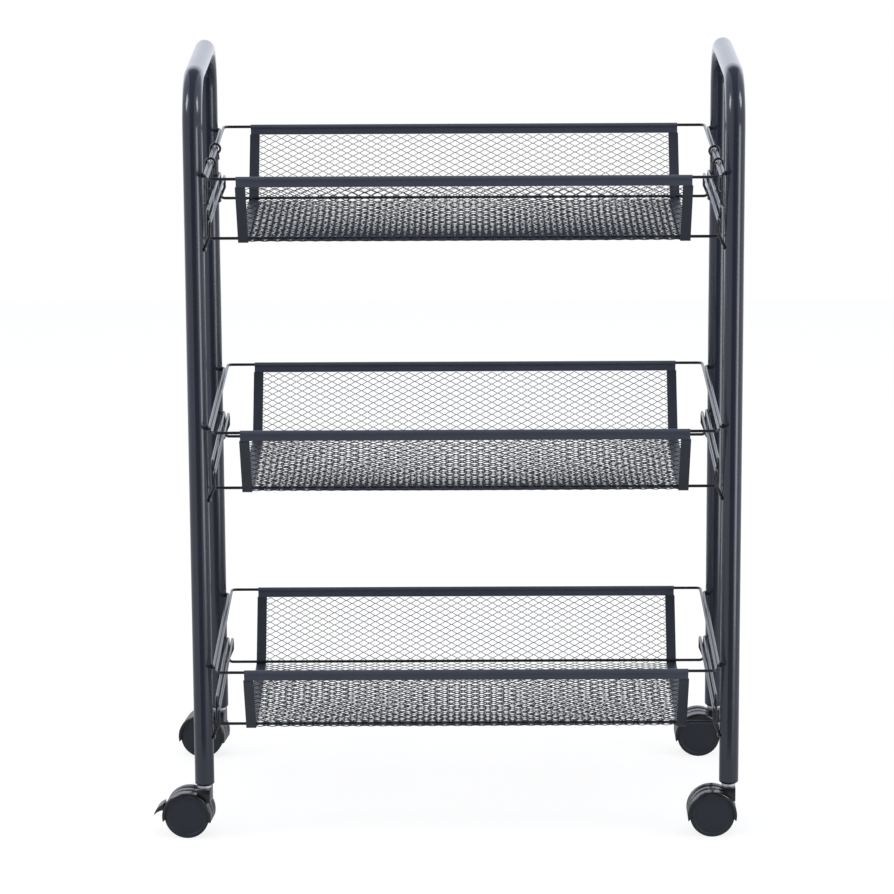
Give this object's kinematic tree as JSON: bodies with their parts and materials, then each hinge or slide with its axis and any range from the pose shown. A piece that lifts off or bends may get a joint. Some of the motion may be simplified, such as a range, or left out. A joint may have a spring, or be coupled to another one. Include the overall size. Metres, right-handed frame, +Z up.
{
  "type": "utility cart",
  "caption": "Utility cart with wire-rimmed baskets of expanded metal between two bent tube side frames, sliding hooks on the rails and swivelling twin-wheel casters, one with a brake pedal.",
  "frame": {"origin": "On the floor, midway between the swivel axes of the four casters.", "axes": "+X to the right seen from the front, +Y to the rear, +Z up. The baskets are long in X; the casters trail towards -X."},
  "size_m": [0.4848, 0.2568, 0.638],
  "materials": {
    "powder_coat": "smooth glossy powder coat, dark blue-grey",
    "mesh_coat": "powder coat on expanded metal sheet, dark blue-grey",
    "black_wire": "glossy powder coat on steel wire, near black",
    "black_plastic": "moulded plastic, near black",
    "wheel_plastic": "moulded nylon wheel, near black, matte",
    "bright_steel": "bright zinc plated steel"
  },
  "bodies": {
    "cart": {"side_frame_left": "powder_coat", "side_frame_right": "powder_coat", "rim_rods_bottom": "black_wire", "rim_rods_middle": "black_wire", "rim_rods_top": "black_wire", "base_rods_bottom": "black_wire", "base_rods_middle": "black_wire", "base_rods_top": "black_wire", "bottom_basket_floor": "mesh_coat", "bottom_basket_front": "mesh_coat", "bottom_basket_rear": "mesh_coat", "bottom_basket_rim_wire": "black_wire", "bottom_basket_base_wire": "black_wire", "bottom_basket_hems": "powder_coat", "bottom_basket_edgings": "powder_coat", "middle_basket_floor": "mesh_coat", "middle_basket_front": "mesh_coat", "middle_basket_rear": "mesh_coat", "middle_basket_rim_wire": "black_wire", "middle_basket_base_wire": "black_wire", "middle_basket_hems": "powder_coat", "middle_basket_edgings": "powder_coat", "top_basket_floor": "mesh_coat", "top_basket_front": "mesh_coat", "top_basket_rear": "mesh_coat", "top_basket_rim_wire": "black_wire", "top_basket_base_wire": "black_wire", "top_basket_hems": "powder_coat", "top_basket_edgings": "powder_coat", "insert_front_left": "black_plastic", "stem_front_left": "bright_steel", "insert_front_right": "black_plastic", "stem_front_right": "bright_steel", "insert_rear_left": "black_plastic", "stem_rear_left": "bright_steel", "insert_rear_right": "black_plastic", "stem_rear_right": "bright_steel"},
    "caster_front_left": {"hood_front_left": "black_plastic", "axle_front_left": "bright_steel", "brake_pin": "bright_steel"},
    "wheel_near_front_left": {"wheel_near_front_left": "wheel_plastic"},
    "wheel_far_front_left": {"wheel_far_front_left": "wheel_plastic"},
    "caster_front_right": {"hood_front_right": "black_plastic", "axle_front_right": "bright_steel"},
    "wheel_near_front_right": {"wheel_near_front_right": "wheel_plastic"},
    "wheel_far_front_right": {"wheel_far_front_right": "wheel_plastic"},
    "caster_rear_left": {"hood_rear_left": "black_plastic", "axle_rear_left": "bright_steel"},
    "wheel_near_rear_left": {"wheel_near_rear_left": "wheel_plastic"},
    "wheel_far_rear_left": {"wheel_far_rear_left": "wheel_plastic"},
    "caster_rear_right": {"hood_rear_right": "black_plastic", "axle_rear_right": "bright_steel"},
    "wheel_near_rear_right": {"wheel_near_rear_right": "wheel_plastic"},
    "wheel_far_rear_right": {"wheel_far_rear_right": "wheel_plastic"},
    "pedal": {"brake_pedal": "black_plastic"},
    "hook_front_left": {"hook_front_left": "black_wire"},
    "hook_rear_left": {"hook_rear_left": "black_wire"},
    "hook_front_right": {"hook_front_right": "black_wire"},
    "hook_rear_right": {"hook_rear_right": "black_wire"}
  },
  "joints": [
    {"name": "swivel_front_left", "type": "hinge", "parent": "cart", "child": "caster_front_left", "pos_m": [-0.217, -0.109, 0.03], "axis": [0, 0, 1], "continuous": true},
    {"name": "roll_near_front_left", "type": "hinge", "parent": "caster_front_left", "child": "wheel_near_front_left", "pos_m": [-0.23072, -0.10756, 0.0185], "axis": [0.1045, 0.9945, 0], "continuous": true},
    {"name": "roll_far_front_left", "type": "hinge", "parent": "caster_front_left", "child": "wheel_far_front_left", "pos_m": [-0.23072, -0.10756, 0.0185], "axis": [0.1045, 0.9945, 0], "continuous": true},
    {"name": "swivel_front_right", "type": "hinge", "parent": "cart", "child": "caster_front_right", "pos_m": [0.217, -0.109, 0.03], "axis": [0, 0, 1], "continuous": true},
    {"name": "roll_near_front_right", "type": "hinge", "parent": "caster_front_right", "child": "wheel_near_front_right", "pos_m": [0.2032, -0.109, 0.0185], "axis": [0, 1, 0], "continuous": true},
    {"name": "roll_far_front_right", "type": "hinge", "parent": "caster_front_right", "child": "wheel_far_front_right", "pos_m": [0.2032, -0.109, 0.0185], "axis": [0, 1, 0], "continuous": true},
    {"name": "swivel_rear_left", "type": "hinge", "parent": "cart", "child": "caster_rear_left", "pos_m": [-0.217, 0.109, 0.03], "axis": [0, 0, 1], "continuous": true},
    {"name": "roll_near_rear_left", "type": "hinge", "parent": "caster_rear_left", "child": "wheel_near_rear_left", "pos_m": [-0.23067, 0.11092, 0.0185], "axis": [0.1392, 0.9903, 0], "continuous": true},
    {"name": "roll_far_rear_left", "type": "hinge", "parent": "caster_rear_left", "child": "wheel_far_rear_left", "pos_m": [-0.23067, 0.11092, 0.0185], "axis": [0.1392, 0.9903, 0], "continuous": true},
    {"name": "swivel_rear_right", "type": "hinge", "parent": "cart", "child": "caster_rear_right", "pos_m": [0.217, 0.109, 0.03], "axis": [0, 0, 1], "continuous": true},
    {"name": "roll_near_rear_right", "type": "hinge", "parent": "caster_rear_right", "child": "wheel_near_rear_right", "pos_m": [0.2032, 0.10888, 0.0185], "axis": [-0.0087, 1, 0], "continuous": true},
    {"name": "roll_far_rear_right", "type": "hinge", "parent": "caster_rear_right", "child": "wheel_far_rear_right", "pos_m": [0.2032, 0.10888, 0.0185], "axis": [-0.0087, 1, 0], "continuous": true},
    {"name": "brake_press", "type": "hinge", "parent": "caster_front_left", "child": "pedal", "pos_m": [-0.24515, -0.10604, 0.0253], "axis": [-0.1045, -0.9945, 0], "range_deg": [0, 15]},
    {"name": "slide_hook_front_left", "type": "slide", "parent": "cart", "child": "hook_front_left", "axis": [0, 1, 0], "range_m": [-0.049, 0.032]},
    {"name": "slide_hook_rear_left", "type": "slide", "parent": "cart", "child": "hook_rear_left", "axis": [0, 1, 0], "range_m": [-0.032, 0.075]},
    {"name": "slide_hook_front_right", "type": "slide", "parent": "cart", "child": "hook_front_right", "axis": [0, 1, 0], "range_m": [-0.037, 0.027]},
    {"name": "slide_hook_rear_right", "type": "slide", "parent": "cart", "child": "hook_rear_right", "axis": [0, 1, 0], "range_m": [-0.027, 0.097]}
  ]
}
